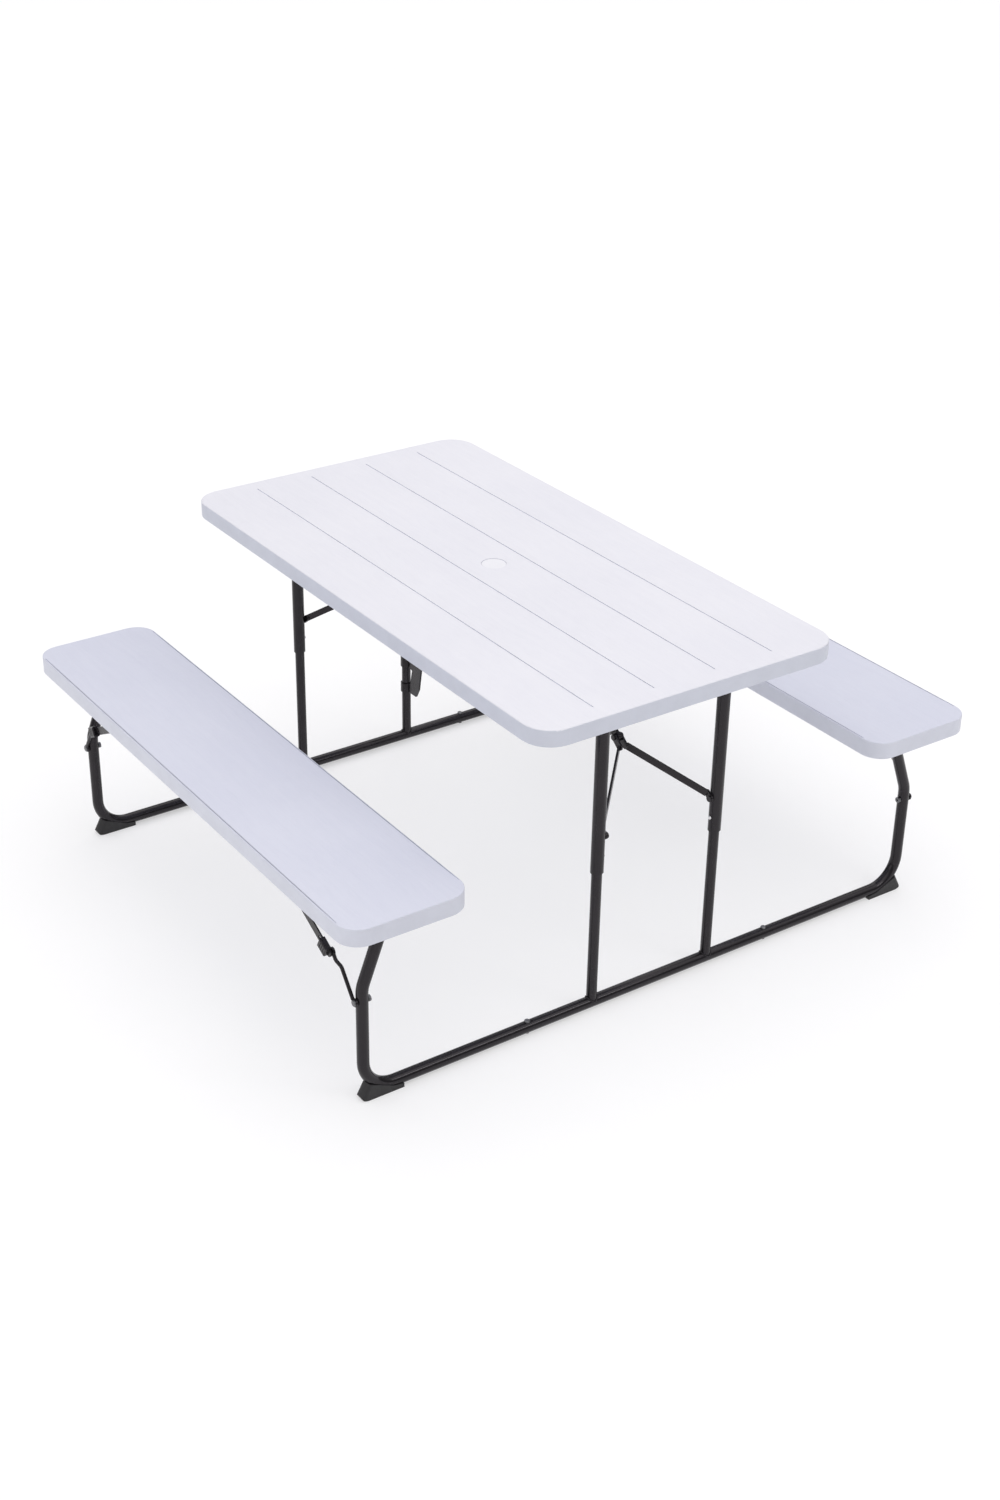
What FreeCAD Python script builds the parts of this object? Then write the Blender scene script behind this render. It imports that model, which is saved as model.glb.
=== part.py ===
import FreeCAD, Part
import os, math

os.makedirs("parts", exist_ok=True)
V = FreeCAD.Vector

# ---------------------------------------------------------------- dimensions
# frame: origin on the ground at the middle of the table, +X along the table,
# +Y across it towards the right bench, +Z up, millimetres; heights below are
# measured from a plane GROUND under the feet and are moved down by it on saving

TABLE_L, TABLE_W = 1370.0, 730.0
TABLE_TOP, TABLE_SKIRT = 749.0, 36.0
TABLE_R = 62.0
PLANK_GROOVES = (-217.5, -74.0, 74.0, 217.5)
GROOVE_HALF_L, GROOVE_W, GROOVE_D = 643.0, 2.4, 1.6
BENCH_L, BENCH_Y0, BENCH_Y1 = 1362.0, 504.0, 775.0
BENCH_TOP, BENCH_SKIRT = 466.0, 38.0
BENCH_R = 48.0
WALL = 4.0                 # moulded skin
TABLE_EDGE_R, BENCH_EDGE_R = 3.0, 2.0   # rolled top edges
BASE_T, BASE_UP = 3.5, 6.0 # lower skin and its recess above the skirt's rim

GROUND = 12.0
FRAME_X = 590.0            # plane of each end frame
POST_Y, POST_R, POST_TOP = 150.0, 11.0, 336.4
JOINT_R = 57.35            # curve of the joint between post and upper leg
LEG_R, LEG_Y, LEG_WALL = 12.4, 695.0, 1.5
RAIL_Z = 27.0
RAIL_JOIN_Y = 330.0        # where the corner tubes plug into the middle rail
CORNER_R = 70.0
LEG_BEND_Z, LEG_SLOPE = 268.0, 0.375
HB_Z = 395.0               # bench hinge axis height
PIN_R = 4.0

HT_Z = 690.0               # table leg hinge axis height
FAT_R, FAT_WALL, FAT_BOTTOM = 13.6, 1.3, 338.0
CROSS_R = 12.0
ARM_Q_Z = 417.0            # where the brace arms are riveted on the legs
STRAP_P_X = 256.0          # table strap pivot
ARM_LAP = 60.8             # strap length minus arm length

BQ_Z = 241.0               # bench link pivot on the leg
BP_X, BP_Z = 348.0, 408.0  # bench strap pivot
BK = (519.0, 319.0)        # bench brace knee

UMB_R = 21.0

# ---------------------------------------------------------------- helpers

def save(name, shapes):
    if not isinstance(shapes, (list, tuple)):
        shapes = [shapes]
    solids = []
    for s in shapes:
        s = s.copy()
        s.translate(V(0, 0, -GROUND))
        solids += s.Solids
    for s in solids:
        assert s.isValid() and s.Volume > 0, name
    out = solids[0] if len(solids) == 1 else Part.makeCompound(solids)
    out.exportStep("parts/%s.step" % name)
    print("%-28s %2d solids %10.1f mm3" % (name, len(solids), sum(s.Volume for s in solids)))


def mx(s):
    return s.mirror(V(0, 0, 0), V(1, 0, 0))


def my(s):
    return s.mirror(V(0, 0, 0), V(0, 1, 0))


def quad(s, sx, sy):
    if sx < 0:
        s = mx(s)
    if sy < 0:
        s = my(s)
    return s


def cyl(p, d, r, h):
    return Part.makeCylinder(r, h, V(*p), V(*d))


def ycyl(x, z, r, y0, y1):
    return Part.makeCylinder(r, y1 - y0, V(x, y0, z), V(0, 1, 0))


def box(x0, x1, y0, y1, z0, z1):
    return Part.makeBox(x1 - x0, y1 - y0, z1 - z0, V(x0, y0, z0))


def rrect(x0, x1, y0, y1, r, z, h):
    a = [V(x0 + r, y0, z), V(x1 - r, y0, z), V(x1, y0 + r, z), V(x1, y1 - r, z),
         V(x1 - r, y1, z), V(x0 + r, y1, z), V(x0, y1 - r, z), V(x0, y0 + r, z)]
    k = r * (1 - math.sqrt(0.5))
    m = [V(x1 - k, y0 + k, z), V(x1 - k, y1 - k, z), V(x0 + k, y1 - k, z), V(x0 + k, y0 + k, z)]
    e = [Part.LineSegment(a[0], a[1]).toShape(), Part.Arc(a[1], m[0], a[2]).toShape(),
         Part.LineSegment(a[2], a[3]).toShape(), Part.Arc(a[3], m[1], a[4]).toShape(),
         Part.LineSegment(a[4], a[5]).toShape(), Part.Arc(a[5], m[2], a[6]).toShape(),
         Part.LineSegment(a[6], a[7]).toShape(), Part.Arc(a[7], m[3], a[0]).toShape()]
    return Part.Face(Part.Wire(e)).extrude(V(0, 0, h))


def fillet_at(s, z, r):
    es = [e for e in s.Edges if abs(e.BoundBox.ZMin - z) < 1e-4 and abs(e.BoundBox.ZMax - z) < 1e-4]
    return s.makeFillet(r, es)


def path(pts, radii):
    # straight runs joined by tangent arcs; radii belong to the inner points
    edges = []
    cur = V(*pts[0])
    for i in range(1, len(pts) - 1):
        p, a, b = V(*pts[i]), V(*pts[i - 1]), V(*pts[i + 1])
        u = (a - p)
        u.normalize()
        w = (b - p)
        w.normalize()
        ang = u.getAngle(w)
        r = radii[i - 1]
        t = r / math.tan(ang / 2)
        p1, p2 = p + u * t, p + w * t
        bis = u + w
        bis.normalize()
        c = p + bis * (r / math.sin(ang / 2))
        mid = c - bis * r
        edges.append(Part.LineSegment(cur, p1).toShape())
        edges.append(Part.Arc(p1, mid, p2).toShape())
        cur = p2
    edges.append(Part.LineSegment(cur, V(*pts[-1])).toShape())
    return Part.Wire(edges)


def sweep(pts, radii, r):
    w = path(pts, radii)
    d = V(*pts[1]) - V(*pts[0])
    d.normalize()
    prof = Part.Wire([Part.Circle(V(*pts[0]), d, r).toShape()])
    return w.makePipeShell([prof], True, True)


def bar_between(a, b, width, thick, n):
    # flat bar from a to b, thickness along the part of n square to the bar
    a, b, n = V(*a), V(*b), V(*n)
    d = b - a
    L = d.Length
    d.normalize()
    n = n - d * n.dot(d)
    n.normalize()
    w = d.cross(n)
    p = [a + w * (width / 2) + n * (thick / 2), a - w * (width / 2) + n * (thick / 2),
         a - w * (width / 2) - n * (thick / 2), a + w * (width / 2) - n * (thick / 2)]
    f = Part.Face(Part.makePolygon(p + [p[0]]))
    return f.extrude(d * L)


def flat_link(ax, az, bx, bz, width, y0, y1):
    # bar with round ends in a plane square to Y
    s = bar_between((ax, (y0 + y1) / 2, az), (bx, (y0 + y1) / 2, bz), width, y1 - y0, (0, 1, 0))
    return s.fuse([ycyl(ax, az, width / 2, y0, y1), ycyl(bx, bz, width / 2, y0, y1)]).removeSplitter()


# ---------------------------------------------------------------- linkage
# positions are (x, z) in the plane of a brace on the +X end

def circ_meet(p, rp, q, rq, low=True):
    d = math.hypot(q[0] - p[0], q[1] - p[1])
    a = (rp * rp - rq * rq + d * d) / (2 * d)
    h = math.sqrt(max(0.0, rp * rp - a * a))
    ux, uz = (q[0] - p[0]) / d, (q[1] - p[1]) / d
    c = [(p[0] + a * ux - h * uz, p[1] + a * uz + h * ux), (p[0] + a * ux + h * uz, p[1] + a * uz - h * ux)]
    c.sort(key=lambda k: k[1])
    return c[0] if low else c[1]


def turn(a, b):
    # turn about +Y that takes direction a to direction b, degrees
    t = math.degrees(math.atan2(a[1], a[0]) - math.atan2(b[1], b[0]))
    return (t + 180) % 360 - 180


def fold(H, Q, P, K, deg, low=True):
    L1, L2 = math.dist(Q, K), math.dist(P, K)
    c, s = math.cos(math.radians(deg)), math.sin(math.radians(deg))
    qx, qz = Q[0] - H[0], Q[1] - H[1]
    Q2 = (H[0] + qx * c + qz * s, H[1] - qx * s + qz * c)
    K2 = circ_meet(P, L2, Q2, L1, low)
    strap = turn((K[0] - P[0], K[1] - P[1]), (K2[0] - P[0], K2[1] - P[1]))
    link = turn((K[0] - Q[0], K[1] - Q[1]), (K2[0] - Q2[0], K2[1] - Q2[1])) - deg
    link = (link + 180) % 360 - 180
    return strap, link, K2, Q2


TQ, TP = (FRAME_X, ARM_Q_Z), (STRAP_P_X, HT_Z)
_span = math.dist(TQ, TP)
_l1 = (_span - ARM_LAP) / 2
TK = (TQ[0] + (TP[0] - TQ[0]) * _l1 / _span, TQ[1] + (TP[1] - TQ[1]) * _l1 / _span)
BQ, BP = (FRAME_X, BQ_Z), (BP_X, BP_Z)
print("table knee", TK, "fold", fold((FRAME_X, HT_Z), TQ, TP, TK, 90))
print("bench knee", BK, "fold", fold((FRAME_X, HB_Z), BQ, BP, BK, 90, False))

# ---------------------------------------------------------------- moulded panels

def panel(x0, x1, y0, y1, top, skirt, r, edge):
    z0 = top - skirt
    o = rrect(x0, x1, y0, y1, r, z0, skirt)
    o = fillet_at(o, top, edge)
    o = fillet_at(o, z0, 1.5)
    c = rrect(x0 + WALL, x1 - WALL, y0 + WALL, y1 - WALL, r - WALL, z0 - 1, skirt + 1 - WALL)
    return o.cut(c)


def base(x0, x1, y0, y1, top, skirt, r, cups, rc):
    g = WALL + 0.05
    z0 = top - skirt + BASE_UP
    b = rrect(x0 + g, x1 - g, y0 + g, y1 - g, r - g, z0, BASE_T)
    zt = top - WALL - 0.05
    outer, inner = [], []
    for (x, y) in cups:
        outer.append(Part.makeCone(rc, rc * 0.55, zt - z0, V(x, y, z0)))
        inner.append(Part.makeCone(rc - 2.6, rc * 0.55 - 2.6, zt - 3 - z0, V(x, y, z0)))
    b = b.fuse(outer)
    return b.cut(inner)


HX, HY = TABLE_L / 2, TABLE_W / 2
skin = panel(-HX, HX, -HY, HY, TABLE_TOP, TABLE_SKIRT, TABLE_R, TABLE_EDGE_R)
skin = skin.cut([box(-GROOVE_HALF_L, GROOVE_HALF_L, y - GROOVE_W / 2, y + GROOVE_W / 2,
                     TABLE_TOP - GROOVE_D, TABLE_TOP + 1) for y in PLANK_GROOVES])
sleeve_z0 = TABLE_TOP - TABLE_SKIRT + BASE_UP
skin = skin.fuse(cyl((0, 0, sleeve_z0), (0, 0, 1), UMB_R + 9, TABLE_TOP - 2 - sleeve_z0))
skin = skin.cut([cyl((0, 0, 600), (0, 0, 1), UMB_R, 300),
                 cyl((0, 0, TABLE_TOP - 5), (0, 0, 1), UMB_R + 6, 20)]).removeSplitter()
save("table_top_skin", skin)

tcups = [(x, y) for x in (-560, -420, -280, -140, 0, 140, 280, 420, 560)
         for y in (-290, -110, 110, 290)]
tbase = base(-HX, HX, -HY, HY, TABLE_TOP, TABLE_SKIRT, TABLE_R, tcups, 17)
tbase = tbase.cut(cyl((0, 0, 600), (0, 0, 1), UMB_R + 9.05, 300))
save("table_lower_skin", tbase)

# plug that closes the umbrella hole, with a skirt that slides in the bore
cap = cyl((0, 0, TABLE_TOP - 4.9), (0, 0, 1), UMB_R + 5.6, 4.5)
cap = fillet_at(cap, TABLE_TOP - 0.4, 1.2)
cap = cap.fuse(cyl((0, 0, TABLE_TOP - 22), (0, 0, 1), UMB_R - 0.4, 18))
cap = cap.cut(cyl((0, 0, TABLE_TOP - 23), (0, 0, 1), UMB_R - 2.6, 18.5)).removeSplitter()
save("umbrella_cap", cap)

BX = BENCH_L / 2
bskin = panel(-BX, BX, BENCH_Y0, BENCH_Y1, BENCH_TOP, BENCH_SKIRT, BENCH_R, BENCH_EDGE_R)
# thin border line moulded along each long edge
bskin = bskin.cut([box(-BX + BENCH_R, BX - BENCH_R, y - 1.1, y + 1.1, BENCH_TOP - 1.6, BENCH_TOP + 1) for y in (BENCH_Y0 + 3.4, BENCH_Y1 - 3.4)])
BENCH_MID = (BENCH_Y0 + BENCH_Y1) / 2
bcups = [(x, y) for x in (-480, -390, -200, -100, 0, 100, 200, 390, 480) for y in (BENCH_MID - 72, BENCH_MID + 42)]
bbase = base(-BX, BX, BENCH_Y0, BENCH_Y1, BENCH_TOP, BENCH_SKIRT, BENCH_R, bcups, 15)
save("bench_top_skin_right", bskin)
save("bench_top_skin_left", my(bskin))
save("bench_lower_skin_right", bbase)
save("bench_lower_skin_left", my(bbase))

# ---------------------------------------------------------------- bench hinge hardware
B_UNDER = BENCH_TOP - BENCH_SKIRT + BASE_UP      # underside of the bench's lower skin
HB_Y = LEG_Y - (HB_Z - LEG_BEND_Z) * LEG_SLOPE   # leg axis at the hinge
EAR = 19.2
EAR_T = 3.0


def ear(x, z, y0, y1, top, r=14.0):
    e = ycyl(x, z, r, y0, y1).fuse(box(x - r, x + r, y0, y1, z, top))
    return e.removeSplitter()


br = box(FRAME_X - 32, FRAME_X + 32, HB_Y - EAR - EAR_T, HB_Y + EAR + EAR_T, B_UNDER - 3, B_UNDER)
br = br.fuse([ear(FRAME_X, HB_Z, HB_Y - EAR - EAR_T, HB_Y - EAR, B_UNDER - 1),
              ear(FRAME_X, HB_Z, HB_Y + EAR, HB_Y + EAR + EAR_T, B_UNDER - 1)])
br = br.cut(ycyl(FRAME_X, HB_Z, PIN_R + 0.02, HB_Y - 60, HB_Y + 60)).removeSplitter()
save("bench_leg_brackets", [quad(br, sx, sy) for sx in (1, -1) for sy in (1, -1)])

STRAP_Y0, STRAP_Y1 = 721.5, 724.5
# strap bracket: one ear each side of the strap
sb = box(BP_X - 24, BP_X + 24, STRAP_Y0 - 9, STRAP_Y1 + 9, B_UNDER - 3, B_UNDER)
sb = sb.fuse([ear(BP_X, BP_Z, STRAP_Y0 - 4.2, STRAP_Y0 - 1.2, B_UNDER - 1, 11),
              ear(BP_X, BP_Z, STRAP_Y1 + 1.2, STRAP_Y1 + 4.2, B_UNDER - 1, 11)])
sb = sb.cut(ycyl(BP_X, BP_Z, PIN_R + 0.02, 690, 750)).removeSplitter()
save("bench_strap_brackets", [quad(sb, sx, sy) for sx in (1, -1) for sy in (1, -1)])


def headed_pin(x, z, y0, y1, r, rh, h):
    p = ycyl(x, z, r, y0, y1)
    a, b = ycyl(x, z, rh, y0 - h, y0), ycyl(x, z, rh, y1, y1 + h)
    a = a.makeFillet(h * 0.6, [e for e in a.Edges if abs(e.BoundBox.YMax - (y0 - h)) < 1e-4 and abs(e.BoundBox.YMin - (y0 - h)) < 1e-4])
    b = b.makeFillet(h * 0.6, [e for e in b.Edges if abs(e.BoundBox.YMin - (y1 + h)) < 1e-4 and abs(e.BoundBox.YMax - (y1 + h)) < 1e-4])
    return p.fuse([a, b]).removeSplitter()


hp = headed_pin(FRAME_X, HB_Z, HB_Y - EAR - EAR_T - 0.02, HB_Y + EAR + EAR_T + 0.02, PIN_R, 7, 3)
sp = headed_pin(BP_X, BP_Z, STRAP_Y0 - 4.22, STRAP_Y1 + 4.22, PIN_R, 6.5, 2.6)
save("bench_hinge_pins", [quad(s, sx, sy) for s in (hp, sp) for sx in (1, -1) for sy in (1, -1)])

# ---------------------------------------------------------------- end frames
top_y = HB_Y - 5.0 * LEG_SLOPE
leg_pts = [(FRAME_X, top_y, HB_Z + 5.0), (FRAME_X, LEG_Y, LEG_BEND_Z), (FRAME_X, LEG_Y, RAIL_Z), (FRAME_X, RAIL_JOIN_Y - 38, RAIL_Z)]
leg_o = sweep(leg_pts, [70, CORNER_R], LEG_R)
leg_i = sweep(leg_pts, [70, CORNER_R], LEG_R - LEG_WALL)
# reduced end that plugs into the middle rail
neck_o = cyl((FRAME_X, RAIL_JOIN_Y - 40, RAIL_Z), (0, 1, 0), LEG_R + 5, 40)
neck_i = cyl((FRAME_X, RAIL_JOIN_Y - 41, RAIL_Z), (0, 1, 0), LEG_R - LEG_WALL - 0.05, 42)
leg = leg_o.cut(leg_i)
leg = leg.cut(neck_o.cut(neck_i))
plug_w = cyl((FRAME_X, RAIL_JOIN_Y - 38, RAIL_Z), (0, 1, 0), LEG_R - LEG_WALL - 0.05, 44).cut(
    cyl((FRAME_X, RAIL_JOIN_Y - 40, RAIL_Z), (0, 1, 0), LEG_R - 2 * LEG_WALL - 0.05, 48))
plug_w = plug_w.fuse(cyl((FRAME_X, RAIL_JOIN_Y + 0.5, RAIL_Z), (0, 1, 0), LEG_R - LEG_WALL + 0.2, 5.5).cut(
    cyl((FRAME_X, RAIL_JOIN_Y - 1, RAIL_Z), (0, 1, 0), LEG_R - 2 * LEG_WALL - 0.05, 10)))
leg = leg.fuse(plug_w)
leg = leg.cut([ycyl(FRAME_X, HB_Z, PIN_R + 0.06, HB_Y - 40, HB_Y + 40),
               ycyl(FRAME_X, BQ_Z, PIN_R + 0.02, LEG_Y - 40, LEG_Y + 40),
               cyl((FRAME_X, RAIL_JOIN_Y - 19, RAIL_Z - 40), (0, 0, 1), 3.02, 80)]).removeSplitter()
rail = cyl((FRAME_X, -RAIL_JOIN_Y, RAIL_Z), (0, 1, 0), LEG_R, 2 * RAIL_JOIN_Y).cut(
    cyl((FRAME_X, -RAIL_JOIN_Y - 1, RAIL_Z), (0, 1, 0), LEG_R - LEG_WALL, 2 * RAIL_JOIN_Y + 2))
rail = rail.cut([cyl((FRAME_X, s * (RAIL_JOIN_Y - 19), RAIL_Z - 40), (0, 0, 1), 3.02, 80) for s in (1, -1)])
# the post's top and the leg above it are both cut round the bench hinge's axis
post = cyl((FRAME_X, POST_Y, RAIL_Z), (0, 0, 1), POST_R, POST_TOP + 5 - RAIL_Z).cut(ycyl(FRAME_X, HB_Z, JOINT_R, 100, 200))
post = post.cut(cyl((FRAME_X, POST_Y, RAIL_Z - 1), (0, 0, 1), POST_R - 1.4, POST_TOP - RAIL_Z - 2))
post = post.cut(cyl((FRAME_X, 0, RAIL_Z), (0, 1, 0), LEG_R + 0.02, 400))
# rail rivet: dome on top, flat tail below
bolt = cyl((FRAME_X, RAIL_JOIN_Y - 19, RAIL_Z - LEG_R - 1), (0, 0, 1), 3.0, 2 * LEG_R + 3)
hd = cyl((FRAME_X, RAIL_JOIN_Y - 19, RAIL_Z + LEG_R + 0.05), (0, 0, 1), 6, 4)
hd = fillet_at(hd, RAIL_Z + LEG_R + 4.05, 2.6)
tail = cyl((FRAME_X, RAIL_JOIN_Y - 19, RAIL_Z - LEG_R - 1.75), (0, 0, 1), 5, 1.7)
bolt = bolt.fuse([hd, tail]).removeSplitter()
# pin that carries the bench link on the leg: head outside, ring end inside
LINK_Y0, LINK_Y1 = LEG_Y + LEG_R + 0.5, LEG_Y + LEG_R + 4.5
bpin = ycyl(FRAME_X, BQ_Z, PIN_R, LEG_Y - LEG_R - 5, LINK_Y1 + 0.1)
bh = ycyl(FRAME_X, BQ_Z, 7, LINK_Y1 + 0.1, LINK_Y1 + 3.1)
bh = bh.makeFillet(1.8, [e for e in bh.Edges if abs(e.BoundBox.YMin - (LINK_Y1 + 3.1)) < 1e-4])
bn = ycyl(FRAME_X, BQ_Z, 6.5, LEG_Y - LEG_R - 5, LEG_Y - LEG_R - 0.3)
bpin = bpin.fuse([bh, bn]).cut(ycyl(FRAME_X, BQ_Z, 2.4, LEG_Y - LEG_R - 6, LEG_Y - LEG_R - 2)).removeSplitter()

# foot: a wedge under the corner, with a cradle for the bend
FOOT_Y0, FOOT_Y1, FOOT_HALF = 611.0, 705.0, 13.8
fx = FRAME_X - FOOT_HALF
toe = [(FOOT_Y1 - 9 + 9 * math.cos(math.radians(a)), GROUND + 9 + 9 * math.sin(math.radians(a))) for a in (-90 + 11.8 * i for i in range(11))]
fp = [V(fx, FOOT_Y0, GROUND)] + [V(fx, y, z) for y, z in toe] + [
      V(fx, LEG_Y - 3.8, 49), V(fx, LEG_Y - 24, 41), V(fx, LEG_Y - 62, 24), V(fx, FOOT_Y0, 21)]
foot = Part.Face(Part.makePolygon(fp + [fp[0]])).extrude(V(2 * FOOT_HALF, 0, 0))
foot = foot.makeFillet(2.6, [e for e in foot.Edges if abs(e.BoundBox.XMax - e.BoundBox.XMin) < 1e-4
                             and e.BoundBox.ZMax > GROUND + 0.5 and e.BoundBox.YMax > FOOT_Y0 + 0.5 and e.BoundBox.YMin > LEG_Y - 20])
fe, fr, f1 = FOOT_Y1 + 5.3, 11.0, FRAME_X + FOOT_HALF
c45 = fr * (1 - math.sqrt(0.5))
plan = Part.Wire([Part.makeLine(V(fx, FOOT_Y0 - 40, GROUND), V(fx, fe - fr, GROUND)),
                  Part.Arc(V(fx, fe - fr, GROUND), V(fx + c45, fe - c45, GROUND), V(fx + fr, fe, GROUND)).toShape(),
                  Part.makeLine(V(fx + fr, fe, GROUND), V(f1 - fr, fe, GROUND)),
                  Part.Arc(V(f1 - fr, fe, GROUND), V(f1 - c45, fe - c45, GROUND), V(f1, fe - fr, GROUND)).toShape(),
                  Part.makeLine(V(f1, fe - fr, GROUND), V(f1, FOOT_Y0 - 40, GROUND)),
                  Part.makeLine(V(f1, FOOT_Y0 - 40, GROUND), V(fx, FOOT_Y0 - 40, GROUND))])
foot = foot.common(Part.Face(plan).extrude(V(0, -28.5, 53.2)))
foot = foot.cut(sweep(leg_pts, [70, CORNER_R], LEG_R + 0.03))
foot = max(foot.Solids, key=lambda s: s.Volume)

# storage catch on one post: a bent strap that hooks the other frame when folded
ck = [V(FRAME_X - POST_R - 0.1, POST_Y - 2.5, 152), V(FRAME_X - 47, POST_Y - 2.5, 152), V(FRAME_X - 60, POST_Y - 2.5, 176), V(FRAME_X - 70, POST_Y - 2.5, 236),
      V(FRAME_X - POST_R - 0.1, POST_Y - 2.5, 268), V(FRAME_X - POST_R - 0.1, POST_Y - 2.5, 222), V(FRAME_X - 30, POST_Y - 2.5, 218), V(FRAME_X - 22, POST_Y - 2.5, 178),
      V(FRAME_X - POST_R - 0.1, POST_Y - 2.5, 172)]
catch = Part.Face(Part.makePolygon(ck + [ck[0]])).extrude(V(0, 5, 0))
clamp = cyl((FRAME_X, POST_Y, 150), (0, 0, 1), POST_R + 3, 24).cut(cyl((FRAME_X, POST_Y, 149), (0, 0, 1), POST_R + 0.03, 30))
clamp2 = cyl((FRAME_X, POST_Y, 220), (0, 0, 1), POST_R + 3, 46).cut(cyl((FRAME_X, POST_Y, 219), (0, 0, 1), POST_R + 0.03, 48))
catch = catch.fuse([clamp, clamp2]).cut(cyl((FRAME_X, POST_Y, 100), (0, 0, 1), POST_R + 0.03, 200)).removeSplitter()

for nm, sx in (("front", 1), ("rear", -1)):
    save("corner_tube_%s_right" % nm, quad(leg, sx, 1))
    save("corner_tube_%s_left" % nm, quad(leg, sx, -1))
    save("middle_rail_%s" % nm, quad(rail, sx, 1))
    save("post_%s_right" % nm, quad(post, sx, 1))
    save("post_%s_left" % nm, quad(post, sx, -1))
    save("frame_fasteners_%s" % nm, [quad(s, sx, sy) for s in (bolt, bpin) for sy in (1, -1)])
    save("feet_%s" % nm, [quad(foot, sx, sy) for sy in (1, -1)])
save("storage_catch", quad(catch, -1, 1))

# ---------------------------------------------------------------- bench braces
strap = flat_link(BP[0], BP[1], BK[0], BK[1], 18, STRAP_Y0, STRAP_Y1)
strap = strap.cut(ycyl(BP[0], BP[1], PIN_R + 0.06, 700, 740))
strap = strap.cut(ycyl(BK[0] + 0.8905 * -36, BK[1] + 0.4550 * 36, 4.0, 700, 740)).removeSplitter()

# lock ring that slides on the strap
dx, dz = BP[0] - BK[0], BP[1] - BK[1]
L2 = math.hypot(dx, dz)
dx, dz = dx / L2, dz / L2


def on_strap(s, y):
    return (BK[0] + dx * s, y, BK[1] + dz * s)


ym = (STRAP_Y0 + STRAP_Y1) / 2
r0, r1 = STRAP_Y0 - 1.85, STRAP_Y1 + 8.0
rm = (r0 + r1) / 2
ring = bar_between(on_strap(1, rm), on_strap(29, rm), 23.4, r1 - r0, (0, 1, 0))
ring = ring.makeFillet(3.2, [e for e in ring.Edges if abs(e.BoundBox.YMin - r1) < 1e-3])
ring = ring.cut(bar_between(on_strap(-20, ym), on_strap(60, ym), 18.3, 3.3, (0, 1, 0)))
# finger grips across its outer face
ring = ring.cut([bar_between(on_strap(s, r1), on_strap(s + 1.6, r1), 16, 1.8, (0, 1, 0)) for s in (7, 13, 19)])

# link: bent rod with flattened eyes
B2, B1 = (549.0, 300.5), (530.0, 304.5)


def step(p, q, d):
    L = math.dist(p, q)
    return (p[0] + (q[0] - p[0]) * d / L, p[1] + (q[1] - p[1]) * d / L)


e0, e1 = step(BQ, B2, 6), step(BK, B1, 5)
lpts = [(e0[0], LINK_Y0 + 4.2, e0[1]), (B2[0], 713.8, B2[1]), (B1[0], 715.0, B1[1]), (e1[0], 715.0, e1[1])]
rod = sweep(lpts, [12, 12], 3.8)
eye1 = ycyl(BQ[0], BQ[1], 8.5, LINK_Y0, LINK_Y1)
eye2 = ycyl(BK[0], BK[1], 8.5, 713.2, 718.4)
link = rod.fuse([eye1, eye2]).cut([ycyl(BQ[0], BQ[1], PIN_R + 0.06, 690, 740), ycyl(BQ[0], BQ[1], 7.4, LINK_Y1, 740)]).removeSplitter()
link = max(link.Solids, key=lambda s: s.Volume)

for nm, sx in (("front", 1), ("rear", -1)):
    for sd, sy in (("right", 1), ("left", -1)):
        save("bench_strap_%s_%s" % (nm, sd), quad(strap, sx, sy))
        save("bench_lock_ring_%s_%s" % (nm, sd), quad(ring, sx, sy))
        save("bench_link_%s_%s" % (nm, sd), quad(link, sx, sy))

# ---------------------------------------------------------------- table legs
T_UNDER = TABLE_TOP - TABLE_SKIRT + BASE_UP
CROSS_HALF = 214.0
cross = ycyl(FRAME_X, HT_Z, CROSS_R, -CROSS_HALF, CROSS_HALF).cut(ycyl(FRAME_X, HT_Z, CROSS_R - 1.6, -CROSS_HALF + 2, CROSS_HALF - 2))
fat = cyl((FRAME_X, POST_Y, FAT_BOTTOM - 1), (0, 0, 1), FAT_R, HT_Z - FAT_BOTTOM + 1).cut(
    cyl((FRAME_X, POST_Y, FAT_BOTTOM - 2), (0, 0, 1), FAT_R - FAT_WALL, HT_Z))
fat = fat.cut([ycyl(FRAME_X, HT_Z, CROSS_R + 0.02, 0, 400),
               ycyl(FRAME_X, ARM_Q_Z, 3.06, 100, POST_Y)])
BTN_Z, BTN_R = 371.0, 4.0
fat = fat.cut(ycyl(FRAME_X, BTN_Z, BTN_R + 0.08, 100, POST_Y))
mouth = box(FRAME_X - 20, FRAME_X + 20, POST_Y - 20, POST_Y + 20, 325, 345).cut(ycyl(FRAME_X, HB_Z, JOINT_R - 0.4, 100, 200))
fat = fat.cut(mouth)
fat = max(fat.Solids, key=lambda s: s.Volume)
# bush pressed in the lower end of the leg, with a lip at the mouth
bush = cyl((FRAME_X, POST_Y, FAT_BOTTOM - 1), (0, 0, 1), FAT_R - FAT_WALL - 0.02, 23).cut([
    cyl((FRAME_X, POST_Y, FAT_BOTTOM - 2), (0, 0, 1), POST_R + 0.15, 30), mouth])
# snap button: domed plunger on a folded leaf
y_in = POST_Y - FAT_R                      # inner face of the leg wall
btn = ycyl(FRAME_X, BTN_Z, BTN_R, y_in - 3.4, y_in + 7)
btn = btn.makeFillet(2.6, [e for e in btn.Edges if abs(e.BoundBox.YMax - (y_in - 3.4)) < 1e-4 and abs(e.BoundBox.YMin - (y_in - 3.4)) < 1e-4])
leaf = box(FRAME_X - 3.6, FRAME_X + 3.6, y_in + 5.6, y_in + 6.6, BTN_Z - 5, BTN_Z + 26)
btn = btn.fuse(leaf).removeSplitter()

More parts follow.
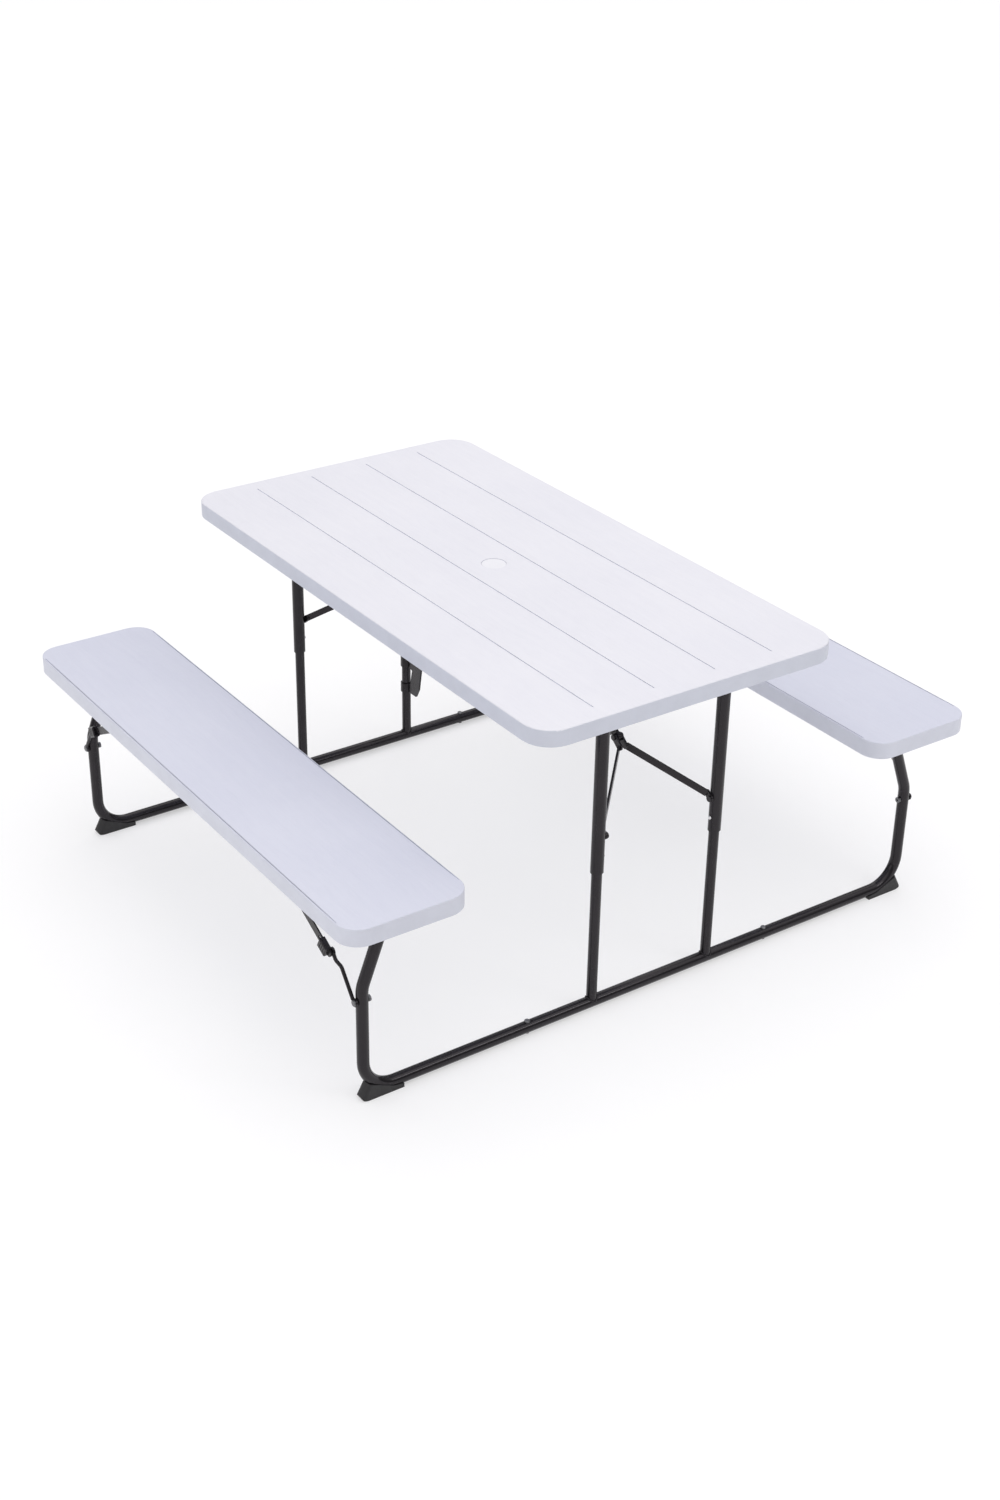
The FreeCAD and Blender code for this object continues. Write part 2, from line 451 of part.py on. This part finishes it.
tb = ycyl(FRAME_X, HT_Z, CROSS_R + 5, 184, 204).fuse(box(FRAME_X - CROSS_R - 5, FRAME_X + CROSS_R + 5, 184, 204, HT_Z, T_UNDER - 2))
tb = tb.fuse(box(FRAME_X - 40, FRAME_X + 40, 178, 210, T_UNDER - 4, T_UNDER))
tb = tb.cut(ycyl(FRAME_X, HT_Z, CROSS_R + 0.07, 100, 300)).removeSplitter()
save("table_leg_brackets", [quad(tb, sx, sy) for sx in (1, -1) for sy in (1, -1)])

STRAP_HALF = 12.0
ts = box(STRAP_P_X - 26, STRAP_P_X + 26, -24, 24, T_UNDER - 3, T_UNDER)
ts = ts.fuse([ear(STRAP_P_X, HT_Z, s * 18.2 - 1.5, s * 18.2 + 1.5, T_UNDER - 1, 12) for s in (1, -1)])
ts = ts.cut(ycyl(STRAP_P_X, HT_Z, 4.02, -60, 60)).removeSplitter()
save("table_strap_brackets", [quad(ts, sx, 1) for sx in (1, -1)])
tp = headed_pin(STRAP_P_X, HT_Z, -19.75, 19.75, 4.0, 7, 2.8)
save("table_strap_pins", [quad(tp, sx, 1) for sx in (1, -1)])

# strap: flat bar on edge with a spacer eye at the table and a knuckle at the knee
tst = flat_link(TP[0], TP[1], TK[0], TK[1], 20, -2.5, 2.5)
tst = tst.fuse([ycyl(TP[0], TP[1], 10, -STRAP_HALF, STRAP_HALF), ycyl(TK[0], TK[1], 10.6, -4.2, 4.2)])
tst = tst.cut([ycyl(TP[0], TP[1], 4.06, -40, 40), ycyl(TK[0] - 52 * 0.7742, TK[1] + 52 * 0.6329, 4.2, -40, 40)]).removeSplitter()

sx_, sz_ = TP[0] - TK[0], TP[1] - TK[1]
sl = math.hypot(sx_, sz_)
sx_, sz_ = sx_ / sl, sz_ / sl


def on_ts(s):
    return (TK[0] + sx_ * s, 0, TK[1] + sz_ * s)


tring = bar_between(on_ts(11.5), on_ts(41.5), 32, 8.4, (0, 1, 0))
tring = tring.makeFillet(1.4, [e for e in tring.Edges if abs(e.Length - 30) < 0.2])
tring = tring.cut(bar_between(on_ts(-20), on_ts(90), 20.3, 5.3, (0, 1, 0)))

# arm: flat bar bent at both ends, riveted on the inner side of the leg
ay_q0, ay_q1 = POST_Y - FAT_R - 4.9, POST_Y - FAT_R - 0.4
ay_k0, ay_k1 = 4.7, 9.2


def lerp(t):
    return (TK[0] + (TQ[0] - TK[0]) * t, TK[1] + (TQ[1] - TK[1]) * t)


k1, q1 = lerp(0.125), lerp(0.93)
ka, qa = (k1[0], 8.6, k1[1]), (q1[0], 131.9, q1[1])
hn = math.hypot(qa[0] - ka[0], qa[1] - ka[1])
run_n = ((qa[1] - ka[1]) / hn, -(qa[0] - ka[0]) / hn, 0)
lug_k = flat_link(TK[0], TK[1], k1[0], k1[1], 15, ay_k0, ay_k1)
lug_q = flat_link(q1[0], q1[1], TQ[0], TQ[1], 15, ay_q0, ay_q1)
run = bar_between(ka, qa, 14, 4.8, run_n)
arm = lug_k.fuse([lug_q, run])
rk = ycyl(TK[0], TK[1], 6.0, ay_k1 - 0.5, ay_k1 + 2.6)
rq = ycyl(TQ[0], TQ[1], 6.5, ay_q0 - 3, ay_q0 + 0.5)
rs = ycyl(TQ[0], TQ[1], 3.0, ay_q0, POST_Y - FAT_R + FAT_WALL + 2)
arm = arm.fuse([rk, rq, rs]).removeSplitter()

for nm, sx in (("front", 1), ("rear", -1)):
    save("cross_tube_%s" % nm, quad(cross, sx, 1))
    save("upper_leg_%s_right" % nm, quad(fat, sx, 1))
    save("upper_leg_%s_left" % nm, quad(fat, sx, -1))
    save("leg_bushes_%s" % nm, [quad(bush, sx, sy) for sy in (1, -1)])
    save("brace_arms_%s" % nm, [quad(arm, sx, sy) for sy in (1, -1)])
    save("table_strap_%s" % nm, quad(tst, sx, 1))
    save("table_lock_ring_%s" % nm, quad(tring, sx, 1))
    for sd, sy in (("right", 1), ("left", -1)):
        save("snap_button_%s_%s" % (nm, sd), quad(btn, sx, sy))

print(len(os.listdir("parts")), "files")
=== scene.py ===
import math
import bpy
import bmesh
from mathutils import Matrix, Vector


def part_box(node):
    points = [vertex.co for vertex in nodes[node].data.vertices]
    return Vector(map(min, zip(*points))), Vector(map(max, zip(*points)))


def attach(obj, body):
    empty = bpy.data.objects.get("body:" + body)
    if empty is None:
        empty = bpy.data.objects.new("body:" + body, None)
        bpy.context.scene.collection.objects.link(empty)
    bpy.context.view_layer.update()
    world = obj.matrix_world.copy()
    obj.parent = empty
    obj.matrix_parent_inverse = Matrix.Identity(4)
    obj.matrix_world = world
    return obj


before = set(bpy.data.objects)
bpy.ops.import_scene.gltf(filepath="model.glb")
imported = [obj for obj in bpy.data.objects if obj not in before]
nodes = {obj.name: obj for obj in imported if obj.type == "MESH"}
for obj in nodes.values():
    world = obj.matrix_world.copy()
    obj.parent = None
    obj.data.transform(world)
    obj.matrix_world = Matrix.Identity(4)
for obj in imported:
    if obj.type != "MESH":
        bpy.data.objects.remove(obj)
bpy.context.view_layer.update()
scene = bpy.context.scene
scene.view_settings.view_transform = "Standard"
scene.view_settings.look = "None"


# ---------------------------------------------------------------- node helpers
class Tree:
    def __init__(self, name):
        self.mat = bpy.data.materials.new(name)
        self.mat.use_nodes = True
        self.t = self.mat.node_tree
        self.t.nodes.clear()
        self.out = self.add("ShaderNodeOutputMaterial")
        self.bsdf = self.add("ShaderNodeBsdfPrincipled")
        self.link(self.bsdf.outputs[0], self.out.inputs[0])
        self.tc = self.add("ShaderNodeTexCoord")

    def add(self, kind, **props):
        n = self.t.nodes.new(kind)
        for k, v in props.items():
            setattr(n, k, v)
        return n

    def link(self, a, b):
        self.t.links.new(a, b)

    def put(self, socket, value):
        if hasattr(value, "is_output"):
            self.link(value, socket)
        else:
            socket.default_value = value

    def math(self, op, a, b=0.0, c=None):
        n = self.add("ShaderNodeMath", operation=op)
        self.put(n.inputs[0], a)
        self.put(n.inputs[1], b)
        if c is not None:
            self.put(n.inputs[2], c)
        return n.outputs[0]

    def sep(self, vec):
        n = self.add("ShaderNodeSeparateXYZ")
        self.link(vec, n.inputs[0])
        return n.outputs

    def comb(self, x, y, z):
        n = self.add("ShaderNodeCombineXYZ")
        for s, v in zip(n.inputs, (x, y, z)):
            self.put(s, v)
        return n.outputs[0]

    def noise(self, vec, scale=1.0, detail=3.0, rough=0.5, distort=0.0):
        n = self.add("ShaderNodeTexNoise")
        self.link(vec, n.inputs["Vector"])
        n.inputs["Scale"].default_value = scale
        n.inputs["Detail"].default_value = detail
        n.inputs["Roughness"].default_value = rough
        n.inputs["Distortion"].default_value = distort
        return n.outputs[0]

    def remap(self, v, a, b, c, d, smooth=False):
        n = self.add("ShaderNodeMapRange")
        n.interpolation_type = "SMOOTHSTEP" if smooth else "LINEAR"
        self.link(v, n.inputs[0])
        for i, x in enumerate((a, b, c, d)):
            n.inputs[1 + i].default_value = x
        return n.outputs[0]

    def mix(self, fac, a, b):
        n = self.add("ShaderNodeMix", data_type="RGBA")
        self.put(n.inputs[0], fac)
        self.put(n.inputs[6], a)
        self.put(n.inputs[7], b)
        return n.outputs[2]

    def bump(self, height, distance, strength=1.0, normal=None):
        n = self.add("ShaderNodeBump")
        n.inputs["Strength"].default_value = strength
        n.inputs["Distance"].default_value = distance
        self.link(height, n.inputs["Height"])
        if normal is not None:
            self.link(normal, n.inputs["Normal"])
        return n.outputs[0]


def rgba(c):
    return (c[0], c[1], c[2], 1.0)


def panel(name, tone, shade, side, plank, grain_depth):
    """Moulded plastic: wood grain pressed into the top face, fine pebble on the edges and underside."""
    m = Tree(name)
    p = m.sep(m.tc.outputs["Object"])
    nz = m.sep(m.tc.outputs["Normal"])[2]
    top = m.remap(nz, 0.80, 0.97, 0.0, 1.0, True)
    if plank:
        idx = m.math("FLOOR", m.math("DIVIDE", m.math("ADD", p[1], 0.3610), 0.1446))
    else:
        idx = m.math("MULTIPLY", m.math("SIGN", p[1]), 1.7)
    # long soft streaks, each plank with its own run of grain
    gx = m.math("ADD", p[0], m.math("MULTIPLY", idx, 3.713))
    wob = m.noise(m.comb(m.math("MULTIPLY", gx, 2.2), m.math("MULTIPLY", p[1], 7.0), 0.0), 1.0, 2.0, 0.5)
    yy = m.math("ADD", p[1], m.math("MULTIPLY", m.math("SUBTRACT", wob, 0.5), 0.060))
    coarse = m.noise(m.comb(m.math("MULTIPLY", gx, 5.0), m.math("MULTIPLY", yy, 95.0), idx), 1.0, 3.0, 0.55)
    fine = m.noise(m.comb(m.math("MULTIPLY", gx, 22.0), m.math("MULTIPLY", yy, 420.0), idx), 1.0, 2.0, 0.5)
    cross = m.noise(m.comb(m.math("MULTIPLY", gx, 300.0), m.math("MULTIPLY", yy, 26.0), idx), 1.0, 2.0, 0.5)
    pores = m.remap(fine, 0.36, 0.47, 0.0, 1.0, True)
    grain = m.math("ADD", m.math("MULTIPLY", coarse, 0.9),
                   m.math("ADD", m.math("MULTIPLY", pores, 0.45), m.math("MULTIPLY", cross, 0.28)))
    pebble = m.noise(m.tc.outputs["Object"], 620.0, 2.0, 0.6)
    h = m.add("ShaderNodeMix", data_type="FLOAT")
    m.link(top, h.inputs[0])
    m.link(m.math("MULTIPLY", pebble, 0.40), h.inputs[2])
    m.link(grain, h.inputs[3])
    nrm = m.bump(h.outputs[0], grain_depth, 1.0)
    m.link(nrm, m.bsdf.inputs["Normal"])
    # tone: slight cloudiness of the moulding plus a little shade in the grain
    cloud = m.noise(m.tc.outputs["Object"], 3.1, 3.0, 0.55)
    f = m.math("ADD", m.remap(cloud, 0.30, 0.70, 0.0, 0.34, True),
               m.math("MULTIPLY", top, m.math("ADD", m.remap(coarse, 0.40, 0.66, 0.20, 0.0),
                                              m.remap(fine, 0.34, 0.48, 0.17, 0.0, True))))
    col = m.mix(f, rgba(tone), rgba(shade))
    if not plank:
        # painted shade: along the narrow grooves at |y| 0.7716 and 0.5074 near the bench's long top edges, the
        # colour is darkened to 0.66 of the shade tone and fades out towards the ends. It stands in for the shade in
        # the crease.
        ay = m.math("ABSOLUTE", p[1])
        near = m.math("MINIMUM", m.math("ABSOLUTE", m.math("SUBTRACT", ay, 0.7716)), m.math("ABSOLUTE", m.math("SUBTRACT", ay, 0.5074)))
        line = m.math("MULTIPLY", m.remap(near, 0.0010, 0.0017, 0.95, 0.0, True), m.remap(m.math("ABSOLUTE", p[0]), 0.560, 0.636, 1.0, 0.0, True))
        col = m.mix(line, col, rgba([x * 0.66 for x in shade]))
    # painted shade: faces that do not point up take the side tone instead of the top colour. It is darker on the
    # table and a little lighter on the bench, standing in for how light falls on the sides versus the top. The
    # noise only mottles it slightly.
    edge = m.mix(m.remap(m.noise(m.tc.outputs["Object"], 21.0, 4.0, 0.6), 0.35, 0.65, 0.0, 0.6, True), rgba(side), rgba([x * 0.94 for x in side]))
    m.link(m.mix(m.remap(nz, 0.30, 0.85, 0.0, 1.0, True), edge, col), m.bsdf.inputs["Base Color"])
    m.link(m.remap(m.noise(m.tc.outputs["Object"], 55.0, 3.0), 0.3, 0.7, 0.40, 0.52), m.bsdf.inputs["Roughness"])
    m.bsdf.inputs["IOR"].default_value = 1.5
    m.bsdf.inputs["Specular IOR Level"].default_value = 0.38
    return m.mat


def coat(name, tone, shade, r0, r1, peel):
    """Powder coat on steel: fine orange peel, slight clouding, faint dust on upward faces."""
    m = Tree(name)
    o = m.tc.outputs["Object"]
    big = m.noise(o, 9.0, 4.0, 0.6)
    fine = m.noise(o, 1500.0, 2.0, 0.5)
    wave = m.noise(o, 140.0, 2.0, 0.5)
    nz = m.sep(m.tc.outputs["Normal"])[2]
    dust = m.math("MULTIPLY", m.remap(nz, 0.55, 1.0, 0.0, 1.0, True), m.remap(m.noise(o, 26.0, 5.0, 0.65), 0.42, 0.72, 0.0, 0.5, True))
    base = m.mix(m.remap(big, 0.32, 0.68, 0.0, 1.0, True), rgba(tone), rgba(shade))
    base = m.mix(m.math("MULTIPLY", dust, 0.30), base, rgba([x * 1.6 + 0.004 for x in tone]))
    m.link(base, m.bsdf.inputs["Base Color"])
    rough = m.math("ADD", m.remap(wave, 0.3, 0.7, r0, r1), m.math("MULTIPLY", dust, 0.08))
    m.link(rough, m.bsdf.inputs["Roughness"])
    h = m.math("ADD", m.math("MULTIPLY", fine, 0.12), m.math("MULTIPLY", wave, 0.88))
    m.link(m.bump(h, peel, 1.0), m.bsdf.inputs["Normal"])
    m.bsdf.inputs["Specular IOR Level"].default_value = 0.36
    m.bsdf.inputs["Specular Tint"].default_value = (1.0, 0.93, 0.99, 1.0)
    return m.mat


def plastic(name, tone, shade, r0, r1, depth, scale):
    """Moulded matte plastic with a spark-eroded grain."""
    m = Tree(name)
    o = m.tc.outputs["Object"]
    m.link(m.mix(m.remap(m.noise(o, 17.0, 4.0), 0.3, 0.7, 0.0, 1.0, True), rgba(tone), rgba(shade)), m.bsdf.inputs["Base Color"])
    m.link(m.remap(m.noise(o, 140.0, 3.0), 0.3, 0.7, r0, r1), m.bsdf.inputs["Roughness"])
    v = m.add("ShaderNodeTexVoronoi")
    m.link(o, v.inputs["Vector"])
    v.inputs["Scale"].default_value = scale
    m.link(m.bump(v.outputs["Distance"], depth, 1.0), m.bsdf.inputs["Normal"])
    return m.mat


def metal(name, tone, shade, r0, r1):
    """Plated steel with turning marks and light tarnish."""
    m = Tree(name)
    o = m.tc.outputs["Object"]
    p = m.sep(o)
    lines = m.noise(m.comb(m.math("MULTIPLY", p[0], 90.0), m.math("MULTIPLY", p[1], 2600.0), m.math("MULTIPLY", p[2], 90.0)), 1.0, 2.0)
    spots = m.noise(o, 210.0, 4.0, 0.6)
    m.link(m.mix(m.remap(spots, 0.40, 0.70, 0.0, 1.0, True), rgba(tone), rgba(shade)), m.bsdf.inputs["Base Color"])
    m.link(m.remap(lines, 0.3, 0.7, r0, r1), m.bsdf.inputs["Roughness"])
    m.link(m.bump(lines, 0.00003, 0.6), m.bsdf.inputs["Normal"])
    m.bsdf.inputs["Metallic"].default_value = 1.0
    return m.mat


MAT = dict(
    table=panel("panel_table", (0.800, 0.795, 0.845), (0.735, 0.733, 0.798), (0.615, 0.635, 0.715), True, 0.00022),
    bench=panel("panel_bench", (0.655, 0.666, 0.758), (0.598, 0.611, 0.716), (0.652, 0.667, 0.748), False, 0.00020),
    cap=plastic("cap_plastic", (0.825, 0.822, 0.862), (0.800, 0.797, 0.84), 0.42, 0.52, 0.00003, 900.0),
    frame=coat("frame_coat", (0.0125, 0.0115, 0.0130), (0.0085, 0.0078, 0.0090), 0.12, 0.17, 0.000012),
    brace=coat("brace_coat", (0.0110, 0.0102, 0.0114), (0.0080, 0.0074, 0.0084), 0.20, 0.28, 0.000015),
    foot=plastic("foot_plastic", (0.0135, 0.0125, 0.0140), (0.018, 0.017, 0.018), 0.46, 0.60, 0.00010, 700.0),
    dark=metal("dark_plating", (0.20, 0.20, 0.21), (0.13, 0.13, 0.135), 0.30, 0.44),
    zinc=metal("bright_plating", (0.80, 0.80, 0.81), (0.66, 0.66, 0.67), 0.20, 0.34),
)


def pick(n):
    if n.startswith("table_") and "skin" in n:
        return "table"
    if n.startswith("bench_") and "skin" in n:
        return "bench"
    if n == "umbrella_cap":
        return "cap"
    if n.startswith("feet") or n.startswith("leg_bushes"):
        return "foot"
    if n.startswith("snap_button"):
        return "zinc"
    if "pins" in n or "fasteners" in n:
        return "dark"
    if n.startswith(("corner_tube", "middle_rail", "post_", "upper_leg", "cross_tube")):
        return "frame"
    return "brace"


for n, o in nodes.items():
    mat = MAT[pick(n)]
    if not o.material_slots:
        o.data.materials.append(mat)
    for s in o.material_slots:
        s.material = mat


# ---------------------------------------------------------------- weld beads where the posts stand on the rail
def bead(name, pts, radius, body, ripple=34):
    me = bpy.data.meshes.new(name)
    bm = bmesh.new()
    k, n = 10, len(pts)
    rings = []
    for i, q in enumerate(pts):
        t = (pts[(i + 1) % n] - pts[i - 1]).normalized()
        a = t.cross(Vector((0, 0, 1))).normalized()
        b = t.cross(a).normalized()
        r = radius * (1.0 + 0.16 * math.sin(2 * math.pi * ripple * i / n))
        rings.append([bm.verts.new(q + r * (math.cos(2 * math.pi * j / k) * a + math.sin(2 * math.pi * j / k) * b)) for j in range(k)])
    for i in range(n):
        for j in range(k):
            f = bm.faces.new((rings[i][j], rings[(i + 1) % n][j], rings[(i + 1) % n][(j + 1) % k], rings[i][(j + 1) % k]))
            f.smooth = True
    bmesh.ops.recalc_face_normals(bm, faces=bm.faces)
    bm.to_mesh(me)
    bm.free()
    o = bpy.data.objects.new(name, me)
    scene.collection.objects.link(o)
    o.data.materials.append(MAT["frame"])
    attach(o, body)
    return o


for end, sx in (("front", 1), ("rear", -1)):
    lo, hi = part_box("middle_rail_" + end)
    zr, rr = (lo[2] + hi[2]) / 2, (hi[0] - lo[0]) / 2
    for side, sy in (("right", 1), ("left", -1)):
        a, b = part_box("post_%s_%s" % (end, side))
        cx, cy = (a[0] + b[0]) / 2, (a[1] + b[1]) / 2
        rp = (b[1] - a[1]) / 2
        pts = []
        for i in range(204):
            t = 2 * math.pi * i / 204
            dx, dy = (rp + 0.0006) * math.cos(t), (rp + 0.0006) * math.sin(t)
            dz = math.sqrt(max(rr * rr - dx * dx, 1e-8))
            pts.append(Vector((cx + dx, cy + dy, zr + dz + 0.0004)))
        bead("weld_%s_%s" % (end, side), pts, 0.0017, "end_frame_" + end)


# ---------------------------------------------------------------- floor, light, camera
me = bpy.data.meshes.new("floor")
bm = bmesh.new()
N = 48
for ring_r in (300.0,):
    vs = [bm.verts.new((ring_r * math.cos(2 * math.pi * i / N), ring_r * math.sin(2 * math.pi * i / N), -0.0006)) for i in range(N)]
    bm.faces.new(vs)
bm.to_mesh(me)
bm.free()
floor = bpy.data.objects.new("floor", me)
scene.collection.objects.link(floor)
fm = Tree("floor_paper")
fm.bsdf.inputs["Base Color"].default_value = (0.52, 0.518, 0.52, 1)
fm.bsdf.inputs["Emission Color"].default_value = (1.0, 0.997, 1.0, 1)
fm.bsdf.inputs["Emission Strength"].default_value = 0.47
fm.bsdf.inputs["Roughness"].default_value = 0.9
fm.bsdf.inputs["Specular IOR Level"].default_value = 0.1
floor.data.materials.append(fm.mat)

world = bpy.data.worlds.new("studio")
scene.world = world
world.use_nodes = True
wt = world.node_tree
bg = wt.nodes["Background"]
wc = wt.nodes.new("ShaderNodeTexCoord")
ws = wt.nodes.new("ShaderNodeSeparateXYZ")
wm = wt.nodes.new("ShaderNodeMapRange")
wm.interpolation_type = "SMOOTHSTEP"
wt.links.new(wc.outputs["Generated"], ws.inputs[0])
wt.links.new(ws.outputs[2], wm.inputs[0])
for i, x in enumerate((0.25, 0.95, 0.22, 1.55)):
    wm.inputs[1 + i].default_value = x
bg.inputs[0].default_value = (0.995, 0.99, 1.0, 1)
wt.links.new(wm.outputs[0], bg.inputs[1])


def area(name, loc, target, size, power, color=(1, 1, 1)):
    d = bpy.data.lights.new(name, "AREA")
    d.shape = "RECTANGLE"
    d.size, d.size_y = size
    d.energy = power
    d.color = color
    o = bpy.data.objects.new(name, d)
    scene.collection.objects.link(o)
    o.location = loc
    o.rotation_euler = (Vector(target) - Vector(loc)).to_track_quat("-Z", "Y").to_euler()
    return o


area("left_bank", (0.6, -4.2, 1.5), (0, 0, 0.4), (3.6, 1.6), 20.0)
area("rim_bank", (-3.6, 2.4, 2.6), (0, 0, 0.3), (2.4, 1.2), 8.0)
# strip parallel to the rails, for the line of light along the near rail
strip = area("strip", (2.98, 1.35, 2.30), (0.59, 1.35, 0.1), (0.42, 1.3), 10.0)
zax = (Vector(strip.location) - Vector((0.59, 1.35, 0.1))).normalized()
yax = Vector((0.0, 1.0, 0.0))
xax = yax.cross(zax).normalized()
strip.rotation_euler = Matrix((xax, yax, zax)).transposed().to_euler()

cam_d = bpy.data.cameras.new("camera")
cam = bpy.data.objects.new("camera", cam_d)
scene.collection.objects.link(cam)
yaw, pit, roll = math.radians(56.0), math.radians(-28.41), math.radians(0.53)
fwd = Vector((-math.sin(yaw) * math.cos(pit), math.cos(yaw) * math.cos(pit), math.sin(pit)))
right = Vector((math.cos(yaw), math.sin(yaw), 0.0))
up = right.cross(fwd)
r2 = math.cos(roll) * right + math.sin(roll) * up
u2 = -math.sin(roll) * right + math.cos(roll) * up
cam.matrix_world = Matrix(((r2.x, u2.x, -fwd.x, 3.38589), (r2.y, u2.y, -fwd.y, -2.35241), (r2.z, u2.z, -fwd.z, 2.54982), (0, 0, 0, 1)))
cam_d.sensor_fit = "AUTO"
cam_d.sensor_width = 36.0
cam_d.lens = 2111.81 / 1500 * 36.0
cam_d.shift_x = (500 - 465.48) / 1500
cam_d.shift_y = -(750 - 735.82) / 1500
cam_d.clip_end = 100.0
scene.camera = cam
